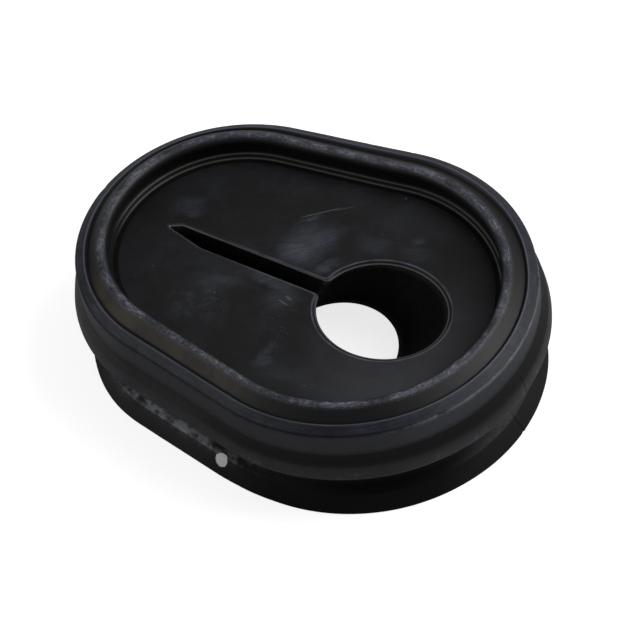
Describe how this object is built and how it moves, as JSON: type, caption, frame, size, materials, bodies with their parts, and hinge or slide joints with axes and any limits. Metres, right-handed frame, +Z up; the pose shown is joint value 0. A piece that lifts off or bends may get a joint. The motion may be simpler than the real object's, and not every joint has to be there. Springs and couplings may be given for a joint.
{
  "type": "steering column seal",
  "caption": "Egg-shaped moulded rubber seal with a beaded rim, a sunken flat web with a leaning bore and a slit, a grooved neck and a flared foot.",
  "frame": {"origin": "on the face the foot rests on, midway along the length and the width of the outline", "axes": "+X along the length towards the larger end, where the bore is; +Z up, from the foot to the bead"},
  "size_m": [0.1606, 0.1248, 0.0438],
  "materials": {
    "black_rubber": "semi-matt black with greyish scuffs on the raised edges"
  },
  "bodies": {
    "root": {"column_seal": "black_rubber"}
  },
  "joints": []
}
